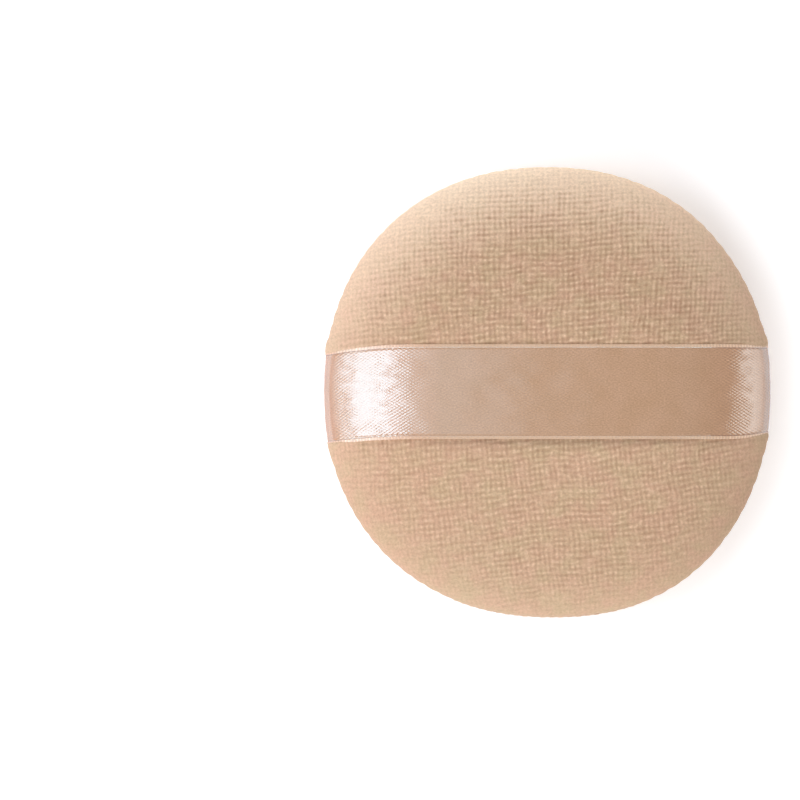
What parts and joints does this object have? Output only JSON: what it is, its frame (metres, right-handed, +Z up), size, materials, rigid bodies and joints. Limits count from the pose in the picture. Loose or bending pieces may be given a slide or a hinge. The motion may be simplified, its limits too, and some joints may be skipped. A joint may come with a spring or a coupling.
{
  "type": "powder puff",
  "caption": "Round padded velour powder puff with a satin finger ribbon sewn into its edge seam across the back.",
  "frame": {"origin": "on the table, under the middle of the puff as it lies on its applicator face", "axes": "+Z up, out of the ribbon side; +X along the ribbon, towards its right end; +Y across the ribbon"},
  "size_m": [0.0772, 0.0767, 0.0162],
  "materials": {
    "velour": "napped beige cotton velour, matt with a pale bloom at the edges",
    "satin_ribbon": "nude pink polyester satin with woven selvedges, bright streaked sheen",
    "foam": "soft open-cell foam, matt cream",
    "thread": "beige spun polyester sewing thread"
  },
  "bodies": {
    "pad": {"foam_core": "foam", "ribbon_side_cover": "velour", "applicator_cover": "velour", "ribbon_tail_left": "satin_ribbon", "ribbon_tail_right": "satin_ribbon", "seam_needle_thread": "thread", "seam_bobbin_thread": "thread", "closing_thread": "thread"},
    "ribbon": {"ribbon_band": "satin_ribbon"}
  },
  "joints": [
    {"name": "ribbon_lift", "type": "slide", "parent": "pad", "child": "ribbon", "axis": [0, 0, 1], "range_m": [0, 0.008], "stiffness_N_per_m": 20}
  ]
}
